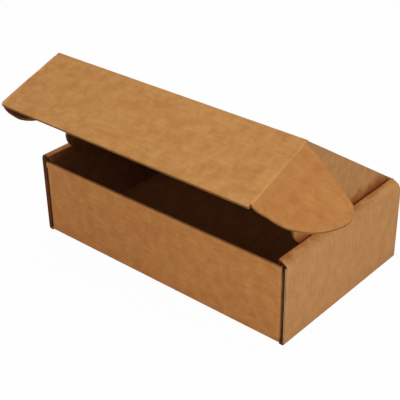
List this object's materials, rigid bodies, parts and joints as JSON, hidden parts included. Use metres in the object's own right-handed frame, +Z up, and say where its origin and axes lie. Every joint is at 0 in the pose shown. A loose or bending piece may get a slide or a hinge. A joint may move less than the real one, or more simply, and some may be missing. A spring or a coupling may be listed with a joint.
{
  "type": "corrugated mailer box",
  "caption": "Kraft corrugated mailer box with rolled ends and a hinged lid, standing part open; the tuck flap, its ears and the lid's side flaps turn on their creases.",
  "frame": {"origin": "centre of the underside of the bottom panel, which rests on the ground", "axes": "+X to the box's right, +Y from the front wall towards the lid crease at the back, +Z up"},
  "size_m": [0.3653, 0.2277, 0.1877],
  "materials": {
    "tray_board": "matte kraft",
    "lid_board": "matte kraft",
    "tuck_board": "matte kraft",
    "ear_board": "matte kraft",
    "side_board": "matte kraft"
  },
  "bodies": {
    "tray": {"tray": "tray_board"},
    "lid": {"lid": "lid_board"},
    "tuck_flap": {"tuck_flap": "tuck_board"},
    "left_ear": {"left_ear": "ear_board"},
    "right_ear": {"right_ear": "ear_board"},
    "left_lid_flap": {"left_lid_flap": "side_board"},
    "right_lid_flap": {"right_lid_flap": "side_board"}
  },
  "joints": [
    {"name": "lid_crease", "type": "hinge", "parent": "tray", "child": "lid", "pos_m": [0, 0.0898, 0.0846], "axis": [-1, 0, 0], "range_deg": [-34, 146]},
    {"name": "tuck_crease", "type": "hinge", "parent": "lid", "child": "tuck_flap", "pos_m": [0, -0.06133, 0.18654], "axis": [-1, 0, 0], "range_deg": [-36, 54]},
    {"name": "right_ear_crease", "type": "hinge", "parent": "tuck_flap", "child": "right_ear", "pos_m": [0.1474, -0.06092, 0.18541], "axis": [0, 0.9397, 0.342], "range_deg": [-17, 153]},
    {"name": "left_ear_crease", "type": "hinge", "parent": "tuck_flap", "child": "left_ear", "pos_m": [-0.1474, -0.06092, 0.18541], "axis": [0, -0.9397, -0.342], "range_deg": [-168, 2]},
    {"name": "right_lid_flap_crease", "type": "hinge", "parent": "lid", "child": "right_lid_flap", "pos_m": [0.1392, 0.08913, 0.08361], "axis": [0, 0.829, -0.5592], "range_deg": [0, 80]},
    {"name": "left_lid_flap_crease", "type": "hinge", "parent": "lid", "child": "left_lid_flap", "pos_m": [-0.1392, 0.08913, 0.08361], "axis": [0, -0.829, 0.5592], "range_deg": [0, 80]}
  ]
}
